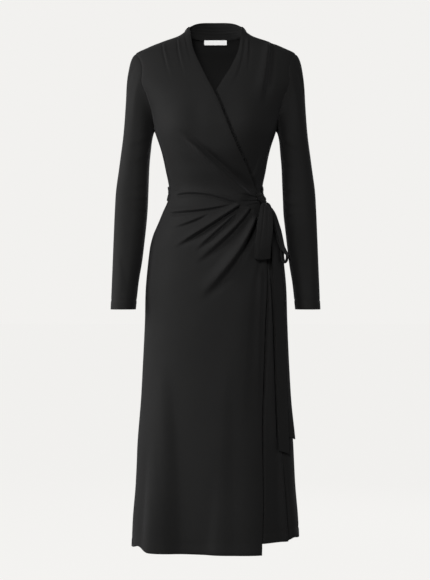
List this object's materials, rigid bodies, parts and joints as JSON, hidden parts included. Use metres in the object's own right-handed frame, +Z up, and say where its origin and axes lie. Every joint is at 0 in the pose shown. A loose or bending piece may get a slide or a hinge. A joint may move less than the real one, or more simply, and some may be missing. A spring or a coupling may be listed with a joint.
{
  "type": "wrap dress",
  "caption": "Long-sleeved V-neck wrap dress, fitted to a side bow at the waist, with gathered folds and a flared midi skirt; hollow, in its worn form.",
  "frame": {"origin": "between the shoulders that carry the dress, midway between the two shoulder seams, at the height of the neck's opening at the back", "axes": "+Z up the body, front towards -Y, the wearer's left towards +X"},
  "size_m": [0.4916, 0.2847, 1.2403],
  "materials": {
    "jersey": "matt black knitted jersey",
    "label": "white woven tape"
  },
  "bodies": {
    "root": {"right_front": "jersey", "left_front": "jersey", "back": "jersey", "sleeve_right": "jersey", "sleeve_left": "jersey", "neck_band": "jersey", "neck_label": "label", "tie_belt": "jersey", "tie_knot": "jersey", "bow_loop_front": "jersey", "bow_loop_side": "jersey", "tie_end_front": "jersey", "tie_end_side": "jersey"}
  },
  "joints": []
}
